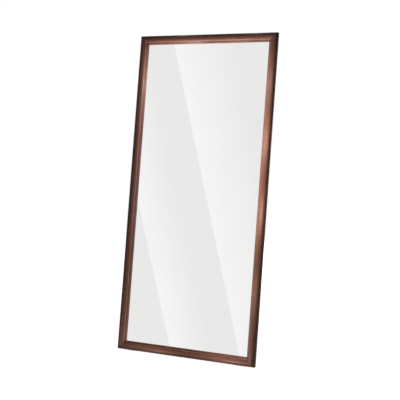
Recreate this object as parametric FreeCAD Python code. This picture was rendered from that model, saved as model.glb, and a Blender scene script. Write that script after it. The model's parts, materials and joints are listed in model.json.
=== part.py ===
import FreeCAD, Part
import math
import os

# A full-length framed mirror that stands on the floor and leans back against a wall.
# Row frame: X to the right seen from the front, the mirror faces -Y, Z up, millimetres.
# Every piece is first drawn upright: the back of the frame lies in the plane y = 0, the front
# is towards -y and the lower edge of the frame is at z = 0.  lean_back() then tips it over.

V = FreeCAD.Vector
X_AXIS = V(1, 0, 0)
Y_AXIS = V(0, 1, 0)

# ---- driving dimensions ------------------------------------------------------------------
FRAME_HEIGHT = 1650.0        # along the frame, lower edge to upper edge
FRAME_WIDTH = 760.0
LEAN_DEG = 10.5              # tilt of the frame against the wall

# moulding section: s runs from the outer edge to the sight edge, t from the back to the front
FACE_WIDTH = 45.0
FRAME_THICKNESS = 32.0
OUTER_SIDE = 17.0            # flat part of the outer side, before the shoulder begins
SHOULDER_RADIUS = 15.0
CROWN_FLAT = 2.5             # nearly flat top between shoulder and inner slope
SLOPE_WIDTH = 18.0           # run of the inner slope from crown to quirk
SLOPE_FALL = 9.5             # drop of the inner slope over that run
QUIRK_STEP = 1.8             # little step where the slope meets the lip
QUIRK_RADIUS = 1.0
LIP_THICKNESS = 3.0          # wood in front of the glass at the sight edge
SIGHT_RADIUS = 1.2

# rabbet and what lies in it, back to front
RABBET_WIDTH = 10.0
BOARD_RECESS = 0.3
BOARD_THICKNESS = 3.0
BOARD_PLAY = 1.0
FOAM_THICKNESS = 2.0
GLASS_THICKNESS = 4.0
GLASS_PLAY = 2.0
TAPE_THICKNESS = 0.5
TAPE_WIDTH = 6.0
BLOCK_LENGTH = 50.0

# v-nails driven into each mitre from the back
V_NAIL_LEG = 6.0
V_NAIL_SHEET = 0.6
V_NAIL_DEPTH = 9.0
V_NAIL_SINK = 0.3
V_NAIL_PLACES = (12.0, 28.0)  # distances of the v-nails from both outer edges
V_NAIL_FIT = 0.05

# pan-head wood screws, one size throughout
SCREW_HEAD_RADIUS = 3.5
SCREW_HEAD_HEIGHT = 1.9
SCREW_SHANK_RADIUS = 1.6
SCREW_LENGTH = 14.0
SCREW_POINT = 3.0
SCREW_TIP_RADIUS = 0.3
SCREW_CROWN = 0.7            # top of the head over its brim
SCREW_FIT = 0.05             # radial clearance of the shank in wood and in sheet metal

# flat corner plates
PLATE_LEG = 60.0
PLATE_WIDTH = 16.0
PLATE_THICKNESS = 1.5
PLATE_INSET = 9.0
PLATE_CORNER = 2.0
PLATE_END_HOLE = 8.0         # last hole from the end of a leg
PLATE_HOLE_PITCH = 24.0

# turn buttons that hold the backing board
BUTTON_REACH = 20.0          # screw to tip
BUTTON_TAIL = 6.0            # screw to rounded tail, also half the width
BUTTON_TIP_HALF = 3.8        # half the width near the tip
BUTTON_CHAMFER = 1.6
BUTTON_THICKNESS = 1.2
BUTTON_INSET = 25.0          # screw from the outer edge
BUTTON_GAP = 0.3             # running gap under the plate
BUTTON_HEAD_GAP = 0.2        # running gap under the screw head
BUTTON_FIT = 0.04            # radial clearance on the screw
BUTTON_FROM_END = 175.0      # outer buttons of a stile from the frame's ends
BUTTON_RAIL_OFFSET = 190.0   # buttons of a rail from the middle

# strap hangers with a loose D-ring
STRAP_WIDTH = 14.0
STRAP_THICKNESS = 1.2
STRAP_LENGTH = 47.0          # eye axis to rounded end
STRAP_HOLES = (27.5, 39.0)   # below the eye axis, past the hanging ring
STRAP_SLOT = 0.6             # where the rolled eye stops short of the plate
RING_WIRE_RADIUS = 1.5
RING_HALF_WIDTH = 12.5       # centre line of the wire
RING_CORNER = 3.0
RING_LEG = 8.0               # eye axis to where the bow begins
RING_FIT = 0.05
HANGER_INSET = 17.5          # eye from the outer edge
HANGER_FROM_TOP = 330.0

# rubber buffers on the back and wedge feet below
BUMPER_BASE_RADIUS = 9.0
BUMPER_END_RADIUS = 6.0
BUMPER_HEIGHT = 8.0
BUMPER_CHAMFER = 1.0
BUMPER_INSET = 18.0
BUMPER_FROM_SIDE = 110.0
FOOT_LENGTH = 60.0
FOOT_DEPTH = 8.0
FOOT_BACK_THICKNESS = 1.0
FOOT_FROM_BACK = 1.5
FOOT_FROM_SIDE = 80.0

# ---- sizes that follow ---------------------------------------------------------------------
HALF_WIDTH = FRAME_WIDTH / 2
BOARD_FRONT = BOARD_RECESS + BOARD_THICKNESS
FOAM_FRONT = BOARD_FRONT + FOAM_THICKNESS
GLASS_FRONT = FOAM_FRONT + GLASS_THICKNESS
RABBET_DEPTH = GLASS_FRONT + TAPE_THICKNESS
SIGHT_HEIGHT = RABBET_DEPTH + LIP_THICKNESS
RABBET_WALL = FACE_WIDTH - RABBET_WIDTH
SCREW_HOLE_RADIUS = SCREW_SHANK_RADIUS + SCREW_FIT
EYE_INNER_RADIUS = RING_WIRE_RADIUS + RING_FIT
EYE_OUTER_RADIUS = EYE_INNER_RADIUS + STRAP_THICKNESS
HANGER_HEIGHT = FRAME_HEIGHT - HANGER_FROM_TOP
OVERCUT = 1.0                # how far a cutting tool runs past what it cuts

# small round pieces are drawn with flats, which keeps their meshes light
SCREW_SIDES = 10
RING_SIDES = 8
BUMPER_SIDES = 20

os.makedirs("parts", exist_ok=True)


# ---- helpers ---------------------------------------------------------------------------------
def box(x0, x1, t0, t1, z0, z1):
    """A block given by its limits; t counts from the back of the frame to the front."""
    return Part.makeBox(x1 - x0, t1 - t0, z1 - z0, V(x0, -t1, z0))


def closed_polygon(corners):
    return Part.makePolygon(corners + corners[:1])


def prism(points, t0, t1):
    """A flat plate with the outline of (x, z) points between two depths t."""
    corners = [V(x, -t0, z) for x, z in points]
    return Part.Face(closed_polygon(corners)).extrude(V(0, t0 - t1, 0))


def cylinder(radius, x, z, t0, t1):
    """A round bar square to the frame's back, between two depths t."""
    return Part.makeCylinder(radius, t1 - t0, V(x, -t0, z), -Y_AXIS)


def flat_sided(radius, sides):
    """Corners of a small circle drawn with flats, as pairs of offsets from its centre."""
    angles = [2 * math.pi * (i + 0.5) / sides for i in range(sides)]
    return [(radius * math.cos(angle), radius * math.sin(angle)) for angle in angles]


def turned(stations, sides, x, z):
    """A small turned piece square to the frame's back, through (radius, depth t) stations."""
    rings = []
    for radius, t in stations:
        rings.append([V(x + a, -t, z + b) for a, b in flat_sided(radius, sides)])
    faces = [Part.Face(closed_polygon(ring)) for ring in (rings[0], rings[-1])]
    for near, far in zip(rings, rings[1:]):
        for i in range(sides):
            j = (i + 1) % sides
            faces.append(Part.Face(closed_polygon([near[i], near[j], far[j], far[i]])))
    solid = Part.Solid(Part.Shell(faces))
    if solid.Volume < 0:
        solid.reverse()
    return solid


def screw_hole(radius, x, z, t0, t1):
    return turned([(radius, t0), (radius, t1)], SCREW_SIDES, x, z)


def upright_edges(shape):
    """The straight edges that run square to the frame's back."""
    found = []
    for edge in shape.Edges:
        start, end = edge.Vertexes[0].Point, edge.Vertexes[-1].Point
        if abs(abs(end.y - start.y) - edge.Length) < 1e-6:
            found.append(edge)
    return found


def lean_back(shape, lift):
    """Tip a piece drawn upright over its lower back edge, then move it to the row's origin."""
    shape = shape.copy()
    shape.rotate(V(0, 0, 0), X_AXIS, -LEAN_DEG)
    shape.translate(lift)
    return shape


# ---- moulding ------------------------------------------------------------------------------------
def arc_between(start, end, centre):
    """A circular arc in the section's plane; the points are (s, t) pairs."""
    radius = math.dist(start, centre)
    middle = ((start[0] + end[0]) / 2 - centre[0], (start[1] + end[1]) / 2 - centre[1])
    scale = radius / math.hypot(*middle)
    through = (centre[0] + middle[0] * scale, centre[1] + middle[1] * scale)
    return Part.Arc(*[V(0, -t, s) for s, t in (start, through, end)]).toShape()


def moulding_section():
    """Section of the moulding in the plane x = 0: s is along z, t is along -y."""
    shoulder_centre = (SHOULDER_RADIUS, OUTER_SIDE)
    shoulder_top = (SHOULDER_RADIUS, OUTER_SIDE + SHOULDER_RADIUS)
    crown_end = (SHOULDER_RADIUS + CROWN_FLAT, FRAME_THICKNESS)
    slope_end = (crown_end[0] + SLOPE_WIDTH, FRAME_THICKNESS - SLOPE_FALL)
    slope_radius = (SLOPE_WIDTH ** 2 + SLOPE_FALL ** 2) / (2 * SLOPE_FALL)
    slope_centre = (crown_end[0], FRAME_THICKNESS - slope_radius)
    quirk_wall = (slope_end[0], slope_end[1] - QUIRK_STEP + QUIRK_RADIUS)
    quirk_floor = (slope_end[0] + QUIRK_RADIUS, slope_end[1] - QUIRK_STEP)
    quirk_centre = (quirk_floor[0], quirk_wall[1])
    lip_edge = (FACE_WIDTH - SIGHT_RADIUS, SIGHT_HEIGHT)
    sight_low = (FACE_WIDTH, SIGHT_HEIGHT - SIGHT_RADIUS)
    sight_centre = (FACE_WIDTH - SIGHT_RADIUS, SIGHT_HEIGHT - SIGHT_RADIUS)
    outline = [
        ((0, 0), (0, OUTER_SIDE), None),
        ((0, OUTER_SIDE), shoulder_top, shoulder_centre),
        (shoulder_top, crown_end, None),
        (crown_end, slope_end, slope_centre),
        (slope_end, quirk_wall, None),
        (quirk_wall, quirk_floor, quirk_centre),
        (quirk_floor, lip_edge, None),
        (lip_edge, sight_low, sight_centre),
        (sight_low, (FACE_WIDTH, RABBET_DEPTH), None),
        ((FACE_WIDTH, RABBET_DEPTH), (RABBET_WALL, RABBET_DEPTH), None),
        ((RABBET_WALL, RABBET_DEPTH), (RABBET_WALL, 0), None),
        ((RABBET_WALL, 0), (0, 0), None),
    ]
    edges = []
    for start, end, centre in outline:
        if centre is None:
            edges.append(Part.makeLine(*[V(0, -t, s) for s, t in (start, end)]))
        else:
            edges.append(arc_between(start, end, centre))
    return Part.Face(Part.Wire(edges))


def mitred_member(length):
    """One length of moulding along x, outer edge at z = 0, both ends cut at 45 degrees."""
    section = moulding_section()
    section.translate(V(-length / 2, 0, 0))
    bar = section.extrude(V(length, 0, 0))
    low, high = length / 2 + OVERCUT, length / 2 - FACE_WIDTH - OVERCUT
    keep = prism(
        [(-low, -OVERCUT), (low, -OVERCUT), (high, FACE_WIDTH + OVERCUT), (-high, FACE_WIDTH + OVERCUT)],
        -OVERCUT,
        FRAME_THICKNESS + OVERCUT,
    )
    return bar.common(keep).Solids[0]


def on_side(shape, side):
    """Turn a piece drawn for the bottom rail, outer edge at z = 0, onto one side of the frame."""
    turn, place = {
        "bottom": (0, V(0, 0, 0)),
        "left": (90, V(-HALF_WIDTH, 0, FRAME_HEIGHT / 2)),
        "top": (180, V(0, 0, FRAME_HEIGHT)),
        "right": (-90, V(HALF_WIDTH, 0, FRAME_HEIGHT / 2)),
    }[side]
    shape = shape.copy()
    shape.rotate(V(0, 0, 0), Y_AXIS, turn)
    shape.translate(place)
    return shape


CORNERS = {
    "bottom_left": (-1, 0),
    "bottom_right": (1, 0),
    "top_left": (-1, 1),
    "top_right": (1, 1),
}


def at_corner(points, corner):
    """Points (a, b), counted inwards from a corner's two outer edges, as (x, z) points."""
    side, top = CORNERS[corner]
    placed = []
    for a, b in points:
        x = side * (HALF_WIDTH - a)
        z = FRAME_HEIGHT - b if top else b
        placed.append((x, z))
    return placed


# ---- fasteners -------------------------------------------------------------------------------------
def screw(x, z, seat):
    """Pan-head wood screw; seat is how far the head's underside stands behind the frame's back."""
    tip = SCREW_LENGTH - seat
    shank = [(SCREW_TIP_RADIUS, tip), (SCREW_SHANK_RADIUS, tip - SCREW_POINT), (SCREW_SHANK_RADIUS, -seat)]
    brim, top = seat + SCREW_HEAD_HEIGHT / 2, seat + SCREW_HEAD_HEIGHT
    head = [(SCREW_HEAD_RADIUS, -seat), (SCREW_HEAD_RADIUS, -brim), (SCREW_HEAD_RADIUS * SCREW_CROWN, -top)]
    parts = [turned(stations, SCREW_SIDES, x, z) for stations in (shank, head)]
    return parts[0].fuse(parts[1]).removeSplitter().Solids[0]


def pilot_hole(x, z, seat):
    """Hole in the wood for a screw whose head seats that far behind the frame's back."""
    return screw_hole(SCREW_HOLE_RADIUS, x, z, -OVERCUT, SCREW_LENGTH - seat + SCREW_FIT)


def v_nail(corner, place, grow, t0, t1):
    """L-shaped staple across one mitre; grow widens it into its pocket."""
    near = place - V_NAIL_SHEET / 2 - grow
    inner = place + V_NAIL_SHEET / 2 + grow
    far = place + V_NAIL_LEG + grow
    outline = [(near, near), (far, near), (far, inner), (inner, inner), (inner, far), (near, far)]
    return prism(at_corner(outline, corner), t0, t1)


def v_nails(grow, t0, t1):
    return [v_nail(corner, place, grow, t0, t1) for corner in CORNERS for place in V_NAIL_PLACES]


# ---- corner plates -----------------------------------------------------------------------------------
def plate_holes(corner):
    middle = PLATE_INSET + PLATE_WIDTH / 2
    last = PLATE_INSET + PLATE_LEG - PLATE_END_HOLE
    along = (last, last - PLATE_HOLE_PITCH)
    return at_corner([(a, middle) for a in along] + [(middle, a) for a in along], corner)


def corner_plate(corner):
    near, mid, far = PLATE_INSET, PLATE_INSET + PLATE_WIDTH, PLATE_INSET + PLATE_LEG
    outline = [(near, near), (far, near), (far, mid), (mid, mid), (mid, far), (near, far)]
    plate = prism(at_corner(outline, corner), -PLATE_THICKNESS, 0)
    plate = plate.makeChamfer(PLATE_CORNER, upright_edges(plate))
    for x, z in plate_holes(corner):
        plate = plate.cut(screw_hole(SCREW_HOLE_RADIUS, x, z, -PLATE_THICKNESS - OVERCUT, OVERCUT))
    return plate.Solids[0]


# ---- turn buttons --------------------------------------------------------------------------------------
def button_places():
    """Name, side, and distance along that side from its middle, for every turn button."""
    reach = FRAME_HEIGHT / 2 - BUTTON_FROM_END
    places = []
    # on the left stile the drawn length runs downwards, on the right one it runs upwards
    for side, up in (("left", -1), ("right", 1)):
        for level, along in (("low", -reach), ("middle", 0), ("high", reach)):
            places.append((f"{side}_{level}", side, up * along))
    # on the top rail the drawn length runs to the left
    for side, right in (("bottom", 1), ("top", -1)):
        for hand, along in (("left", -BUTTON_RAIL_OFFSET), ("right", BUTTON_RAIL_OFFSET)):
            places.append((f"{side}_{hand}", side, right * along))
    return places


def on_side_point(along, inset, side):
    """The (x, z) place of a point drawn on the bottom rail."""
    point = on_side(Part.Vertex(along, 0, inset), side).Point
    return point.x, point.z


def turn_button(side, along):
    """Tapered steel plate with a round tail, drawn on the bottom rail with its tip over the board."""
    under, over = -BUTTON_GAP - BUTTON_THICKNESS, -BUTTON_GAP
    screw_z, tip_z = BUTTON_INSET, BUTTON_INSET + BUTTON_REACH
    tail = cylinder(BUTTON_TAIL, along, screw_z, under, over)
    # each flank leaves the round tail without a kink and runs to the chamfer of the tip
    side_corner = (BUTTON_TIP_HALF, tip_z - BUTTON_CHAMFER)
    end_corner = (BUTTON_TIP_HALF - BUTTON_CHAMFER, tip_z)
    reach = math.dist(side_corner, (0, screw_z))
    turn = math.acos(BUTTON_TAIL / reach) - math.atan2(side_corner[1] - screw_z, side_corner[0])
    touch = (BUTTON_TAIL * math.cos(turn), screw_z - BUTTON_TAIL * math.sin(turn))
    half = [touch, side_corner, end_corner]
    outline = [(along + a, z) for a, z in half] + [(along - a, z) for a, z in reversed(half)]
    blade = prism(outline, under, over)
    plate = tail.fuse(blade).removeSplitter()
    # the flats of the hole, not its corners, clear the corners of the shank as it turns
    hole = (SCREW_SHANK_RADIUS + BUTTON_FIT) / math.cos(math.pi / SCREW_SIDES)
    plate = plate.cut(screw_hole(hole, along, screw_z, under - OVERCUT, over + OVERCUT))
    return on_side(plate.Solids[0], side)


BUTTON_SEAT = BUTTON_GAP + BUTTON_THICKNESS + BUTTON_HEAD_GAP


def button_screw_places():
    return [on_side_point(along, BUTTON_INSET, side) for _, side, along in button_places()]


# ---- hangers -------------------------------------------------------------------------------------------
def hanger_x(hand):
    return hand * (HALF_WIDTH - HANGER_INSET)


def hanger_screw_places():
    return [(hanger_x(hand), HANGER_HEIGHT - drop) for hand in (-1, 1) for drop in STRAP_HOLES]


def hanger_strap(hand):
    """Steel strap lying on the stile, its upper end rolled into an eye for the ring."""
    x = hanger_x(hand)
    half = STRAP_WIDTH / 2
    low = HANGER_HEIGHT - STRAP_LENGTH + half
    plate = box(x - half, x + half, -STRAP_THICKNESS, 0, low, HANGER_HEIGHT)
    end = cylinder(half, x, low, -STRAP_THICKNESS, 0)
    axis_start = V(x - half, EYE_OUTER_RADIUS, HANGER_HEIGHT)
    roll = Part.makeCylinder(EYE_OUTER_RADIUS, STRAP_WIDTH, axis_start, X_AXIS)
    bore_start = axis_start - X_AXIS * OVERCUT
    bore = Part.makeCylinder(EYE_INNER_RADIUS, STRAP_WIDTH + 2 * OVERCUT, bore_start, X_AXIS)
    slot = box(
        x - half - OVERCUT,
        x + half + OVERCUT,
        -STRAP_THICKNESS - STRAP_SLOT,
        -STRAP_THICKNESS,
        HANGER_HEIGHT - EYE_OUTER_RADIUS - OVERCUT,
        HANGER_HEIGHT,
    )
    strap = roll.cut([bore, slot]).fuse([plate.cut(bore), end]).removeSplitter()
    for drop in STRAP_HOLES:
        place = HANGER_HEIGHT - drop
        strap = strap.cut(screw_hole(SCREW_HOLE_RADIUS, x, place, -STRAP_THICKNESS - OVERCUT, OVERCUT))
    return strap.Solids[0]


def ring_path():
    """Centre line of the D-ring in the plane y = 0, its straight bar along x through the origin."""
    w, c, leg = RING_HALF_WIDTH, RING_CORNER, RING_LEG
    turn = c * (1 - math.sqrt(0.5))
    half = [
        Part.makeLine(V(0, 0, 0), V(w - c, 0, 0)),
        Part.Arc(V(w - c, 0, 0), V(w - turn, 0, -turn), V(w, 0, -c)).toShape(),
        Part.makeLine(V(w, 0, -c), V(w, 0, -leg)),
    ]
    bow = Part.Arc(V(w, 0, -leg), V(0, 0, -leg - w), V(-w, 0, -leg)).toShape()
    other = [
        Part.makeLine(V(-w, 0, -leg), V(-w, 0, -c)),
        Part.Arc(V(-w, 0, -c), V(turn - w, 0, -turn), V(c - w, 0, 0)).toShape(),
        Part.makeLine(V(c - w, 0, 0), V(0, 0, 0)),
    ]
    return Part.Wire(half + [bow] + other)


def hanger_ring(hand):
    """D-ring of round wire.  It hangs plumb, so upright it is drawn turned out by the lean."""
    path = ring_path()
    wire = closed_polygon([V(0, a, b) for a, b in flat_sided(RING_WIRE_RADIUS, RING_SIDES)])
    ring = path.makePipeShell([wire], True, False)
    ring.rotate(V(0, 0, 0), X_AXIS, LEAN_DEG)
    ring.translate(V(hanger_x(hand), EYE_OUTER_RADIUS, HANGER_HEIGHT))
    return ring


# ---- rubber pieces ---------------------------------------------------------------------------------------
def wall_bumper(hand, top):
    """Tapered rubber buffer stuck to the back of a rail."""
    x = hand * (HALF_WIDTH - BUMPER_FROM_SIDE)
    z = FRAME_HEIGHT - BUMPER_INSET if top else BUMPER_INSET
    stations = [
        (BUMPER_BASE_RADIUS, 0),
        (BUMPER_END_RADIUS + BUMPER_CHAMFER / 2, BUMPER_CHAMFER - BUMPER_HEIGHT),
        (BUMPER_END_RADIUS - BUMPER_CHAMFER / 2, -BUMPER_HEIGHT),
    ]
    return turned(stations, BUMPER_SIDES, x, z)


def foot_pad(hand):
    """Rubber wedge under the bottom rail; its sole is level when the frame leans."""
    centre = hand * (HALF_WIDTH - FOOT_FROM_SIDE)
    back, front = -FOOT_FROM_BACK, -FOOT_FROM_BACK - FOOT_DEPTH
    front_thickness = FOOT_BACK_THICKNESS + FOOT_DEPTH * math.tan(math.radians(LEAN_DEG))
    profile = [(back, 0), (front, 0), (front, -front_thickness), (back, -FOOT_BACK_THICKNESS)]
    corners = [V(centre - FOOT_LENGTH / 2, y, z) for y, z in profile]
    return Part.Face(closed_polygon(corners)).extrude(V(FOOT_LENGTH, 0, 0))


# ---- what lies in the rabbet -------------------------------------------------------------------------------
def sheet_in_rabbet(play, t0, t1):
    """A sheet that fills the rabbet but for the given play at its edges."""
    edge = RABBET_WALL + play
    return box(edge - HALF_WIDTH, HALF_WIDTH - edge, t0, t1, edge, FRAME_HEIGHT - edge)


def rabbet_tapes():
    """Foam strips between the lip and the glass: two long ones, two short ones between them."""
    outer = RABBET_WALL + GLASS_PLAY
    inner = outer + TAPE_WIDTH
    tapes = {}
    for side in ("left", "right"):
        length = FRAME_HEIGHT - 2 * outer
        tapes[side] = box(-length / 2, length / 2, GLASS_FRONT, RABBET_DEPTH, outer, inner)
    for side in ("bottom", "top"):
        length = FRAME_WIDTH - 2 * inner
        tapes[side] = box(-length / 2, length / 2, GLASS_FRONT, RABBET_DEPTH, outer, inner)
    return {f"rabbet_tape_{side}": on_side(tape, side) for side, tape in tapes.items()}


def edge_block(side, along):
    """A block that fills the play between the rabbet's wall and the edge of the glass."""
    x0, x1 = along - BLOCK_LENGTH / 2, along + BLOCK_LENGTH / 2
    wall = RABBET_WALL
    return on_side(box(x0, x1, FOAM_FRONT, GLASS_FRONT, wall, wall + GLASS_PLAY), side)


# ---- assembly ----------------------------------------------------------------------------------------------
def frame_members():
    """The four mouldings with their screw holes and v-nail pockets."""
    cutters = v_nails(V_NAIL_FIT, -OVERCUT, V_NAIL_SINK + V_NAIL_DEPTH + V_NAIL_FIT)
    seats = [(place, PLATE_THICKNESS) for corner in CORNERS for place in plate_holes(corner)]
    seats += [(place, STRAP_THICKNESS) for place in hanger_screw_places()]
    seats += [(place, BUTTON_SEAT) for place in button_screw_places()]
    cutters += [pilot_hole(x, z, seat) for (x, z), seat in seats]
    members = {}
    for name, side, length in (
        ("left_stile", "left", FRAME_HEIGHT),
        ("right_stile", "right", FRAME_HEIGHT),
        ("top_rail", "top", FRAME_WIDTH),
        ("bottom_rail", "bottom", FRAME_WIDTH),
    ):
        member = on_side(mitred_member(length), side)
        near = [tool for tool in cutters if tool.BoundBox.intersect(member.BoundBox)]
        members[name] = member.cut(near).Solids[0]
    return members


def screw_group(places, seat):
    return Part.makeCompound([screw(x, z, seat) for x, z in places])


def all_pieces():
    """Every piece, drawn upright, by its name."""
    block_reach = FRAME_WIDTH / 4
    side_reach = FRAME_HEIGHT / 4
    pieces = frame_members()
    pieces["mirror_glass"] = sheet_in_rabbet(GLASS_PLAY, FOAM_FRONT, GLASS_FRONT)
    pieces["foam_sheet"] = sheet_in_rabbet(GLASS_PLAY, BOARD_FRONT, FOAM_FRONT)
    pieces["backing_board"] = sheet_in_rabbet(BOARD_PLAY, BOARD_RECESS, BOARD_FRONT)
    pieces.update(rabbet_tapes())
    pieces["setting_block_left"] = edge_block("bottom", -block_reach)
    pieces["setting_block_right"] = edge_block("bottom", block_reach)
    spacers = [edge_block("top", along) for along in (-block_reach, block_reach)]
    for side in ("left", "right"):
        spacers += [edge_block(side, along) for along in (-side_reach, side_reach)]
    pieces["edge_spacers"] = Part.makeCompound(spacers)
    nails = v_nails(0, V_NAIL_SINK, V_NAIL_SINK + V_NAIL_DEPTH)
    pieces["corner_v_nails"] = Part.makeCompound(nails)
    plate_screws = []
    for corner in CORNERS:
        pieces[f"corner_plate_{corner}"] = corner_plate(corner)
        plate_screws += plate_holes(corner)
    pieces["corner_plate_screws"] = screw_group(plate_screws, PLATE_THICKNESS)
    for name, side, along in button_places():
        pieces[f"turn_button_{name}"] = turn_button(side, along)
    pieces["turn_button_screws"] = screw_group(button_screw_places(), BUTTON_SEAT)
    for name, hand in (("left", -1), ("right", 1)):
        pieces[f"hanger_strap_{name}"] = hanger_strap(hand)
        pieces[f"hanger_ring_{name}"] = hanger_ring(hand)
        pieces[f"wall_bumper_top_{name}"] = wall_bumper(hand, True)
        pieces[f"wall_bumper_bottom_{name}"] = wall_bumper(hand, False)
        pieces[f"foot_pad_{name}"] = foot_pad(hand)
    pieces["hanger_screws"] = screw_group(hanger_screw_places(), STRAP_THICKNESS)
    return pieces


def origin_shift(pieces):
    """The move that brings the middle of the leaning mirror's footprint to the origin."""
    leaning = [lean_back(piece, V(0, 0, 0)) for piece in pieces.values()]
    bounds = Part.makeCompound(leaning).optimalBoundingBox(False)
    return V(-bounds.Center.x, -bounds.Center.y, -bounds.ZMin)


upright = all_pieces()
LIFT = origin_shift(upright)
for node, piece in upright.items():
    lean_back(piece, LIFT).exportStep(f"parts/{node}.step")
print(len(upright), "nodes; shift to the origin", [round(value, 3) for value in LIFT])
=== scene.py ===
# %% [markdown]
# # A leaning floor mirror
# This file dresses a CAD model of a tall framed mirror for a picture. The CAD model gives every
# piece its place and size, and each cell below adds a shape or a finish on top. The box of the
# bare CAD model is kept, and printed at the end beside the box of the dressed mirror. The box
# of the bare CAD model is kept, because the dressed mirror must not grow out of it.

# %% Load the imported frame
import json
import math

import bmesh
import bpy
from mathutils import Matrix, Vector

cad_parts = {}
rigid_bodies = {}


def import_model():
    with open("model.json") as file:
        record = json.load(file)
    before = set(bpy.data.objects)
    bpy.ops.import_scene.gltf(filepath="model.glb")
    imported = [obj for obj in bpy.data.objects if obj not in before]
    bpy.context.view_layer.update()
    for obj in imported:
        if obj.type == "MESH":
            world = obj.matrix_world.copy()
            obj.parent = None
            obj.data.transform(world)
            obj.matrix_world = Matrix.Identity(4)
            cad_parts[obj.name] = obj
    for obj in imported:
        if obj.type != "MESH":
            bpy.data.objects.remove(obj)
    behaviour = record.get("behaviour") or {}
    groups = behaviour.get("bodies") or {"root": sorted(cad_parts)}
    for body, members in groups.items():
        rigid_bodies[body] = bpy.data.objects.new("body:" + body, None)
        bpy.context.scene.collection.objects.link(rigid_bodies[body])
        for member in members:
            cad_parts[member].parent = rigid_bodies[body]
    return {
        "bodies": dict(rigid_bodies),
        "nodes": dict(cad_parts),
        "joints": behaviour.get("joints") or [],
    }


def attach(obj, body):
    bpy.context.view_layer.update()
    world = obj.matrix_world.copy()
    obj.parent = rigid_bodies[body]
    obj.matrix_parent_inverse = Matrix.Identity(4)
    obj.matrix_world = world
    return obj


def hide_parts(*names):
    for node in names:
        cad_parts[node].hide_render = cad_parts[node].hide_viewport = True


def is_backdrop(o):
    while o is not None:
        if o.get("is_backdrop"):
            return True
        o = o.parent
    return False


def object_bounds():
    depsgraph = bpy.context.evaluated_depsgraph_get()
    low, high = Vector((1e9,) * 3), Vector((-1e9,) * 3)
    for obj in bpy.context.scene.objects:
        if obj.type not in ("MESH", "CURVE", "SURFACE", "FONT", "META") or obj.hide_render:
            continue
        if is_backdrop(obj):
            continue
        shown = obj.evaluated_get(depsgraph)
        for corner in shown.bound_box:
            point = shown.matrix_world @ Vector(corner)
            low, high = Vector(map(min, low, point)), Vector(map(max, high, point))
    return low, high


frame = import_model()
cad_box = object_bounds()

MM = 0.001
nodes = frame["nodes"]

# %% [markdown]
# ## Working on a mirror that leans
# The real mirror leans on a wall, so nothing on it is square to the room. It is easier to draw
# each piece as if the frame stood upright, its back in the plane y = 0 and its lower edge at
# z = 0, and to tip the finished mesh over. The angle is read from the axis of a turn button,
# which stands square to the back, and the foot line from the lower back edge of a stile.

# %% Read the lean from the frame
axes = {joint["name"]: Vector(joint["axis"]) for joint in frame["joints"]}
back_axis = axes["turn_button_left_low_swivel"]
LEAN = math.atan2(-back_axis.z, back_axis.y)
stand_up = Matrix.Rotation(LEAN, 4, "X")


def box_of(points):
    """Lowest and highest corner of a box round some points."""
    return [Vector([pick(point[i] for point in points) for i in range(3)]) for pick in (min, max)]


def turned_box(node, turn):
    """The box of a CAD node after a turn about the origin."""
    return box_of([turn @ vertex.co for vertex in nodes[node].data.vertices])


stile_low, stile_high = turned_box("left_stile", stand_up)
FOOT = Vector((0, stile_high.y, stile_low.z))
UPRIGHT = Matrix.Translation(-FOOT) @ stand_up
LEANING = UPRIGHT.inverted()
FRAME_HEIGHT = stile_high.z - stile_low.z
FRAME_WIDTH = 2 * turned_box("right_stile", UPRIGHT)[1].x
print("lean %.2f degrees; frame %.3f by %.3f m" % (math.degrees(LEAN), FRAME_WIDTH, FRAME_HEIGHT))


# %% [markdown]
# ## A few helpers
# Geometry Nodes and materials are both trees of nodes. One function adds a node and fills or
# links its sockets, and each tree further down uses it.

# %% Helpers for node trees
def add(tree, kind, inputs=None, **settings):
    """Add a node; inputs maps a socket's name or number to a value or to another socket."""
    node = tree.nodes.new(kind)
    for name, value in settings.items():
        setattr(node, name, value)
    for name, value in (inputs or {}).items():
        if isinstance(value, bpy.types.NodeSocket):
            tree.links.new(value, node.inputs[name])
        else:
            node.inputs[name].default_value = value
    return node


def field(tree, kind, inputs=None, **settings):
    """Add a node and give its first output."""
    return add(tree, kind, inputs, **settings).outputs[0]


def maths(tree, operation, first, second=0.0):
    return field(tree, "ShaderNodeMath", {0: first, 1: second}, operation=operation)


def plus(tree, first, second):
    return maths(tree, "ADD", first, second)


def minus(tree, first, second):
    return maths(tree, "SUBTRACT", first, second)


def times(tree, first, second):
    return maths(tree, "MULTIPLY", first, second)


def attribute(tree, name, kind="FLOAT"):
    """Read a named attribute inside a Geometry Nodes tree."""
    node = add(tree, "GeometryNodeInputNamedAttribute", {"Name": name}, data_type=kind)
    return node.outputs["Attribute"]


SOCKET_KINDS = {"Geometry": "Geometry", "Material": "Material", "Template": "Object",
                "Seed": "Int", "Stations": "Int", "Sides": "Int"}


def geometry_tree(name, labels):
    """An empty tree with a geometry input, the labelled inputs and a geometry output."""
    tree = bpy.data.node_groups.new(name, "GeometryNodeTree")
    for label in ["Geometry", *labels]:
        kind = "NodeSocket" + SOCKET_KINDS.get(label, "Float")
        tree.interface.new_socket(label, in_out="INPUT", socket_type=kind)
    tree.interface.new_socket("Geometry", in_out="OUTPUT", socket_type="NodeSocketGeometry")
    return tree, tree.nodes.new("NodeGroupInput").outputs


def finish_tree(tree, geometry, material):
    real = field(tree, "GeometryNodeRealizeInstances", {"Geometry": geometry})
    painted = field(tree, "GeometryNodeSetMaterial", {"Geometry": real, "Material": material})
    tree.links.new(painted, tree.nodes.new("NodeGroupOutput").inputs[0])


# %% Helpers for pieces
WELD = 1e-6


def new_object(name, mesh):
    piece = bpy.data.objects.new(name, mesh)
    bpy.context.scene.collection.objects.link(piece)
    return piece


def mesh_of(name, points, edges=(), faces=()):
    mesh = bpy.data.meshes.new(name)
    mesh.from_pydata([Vector(point) for point in points], edges, faces)
    return mesh


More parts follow.
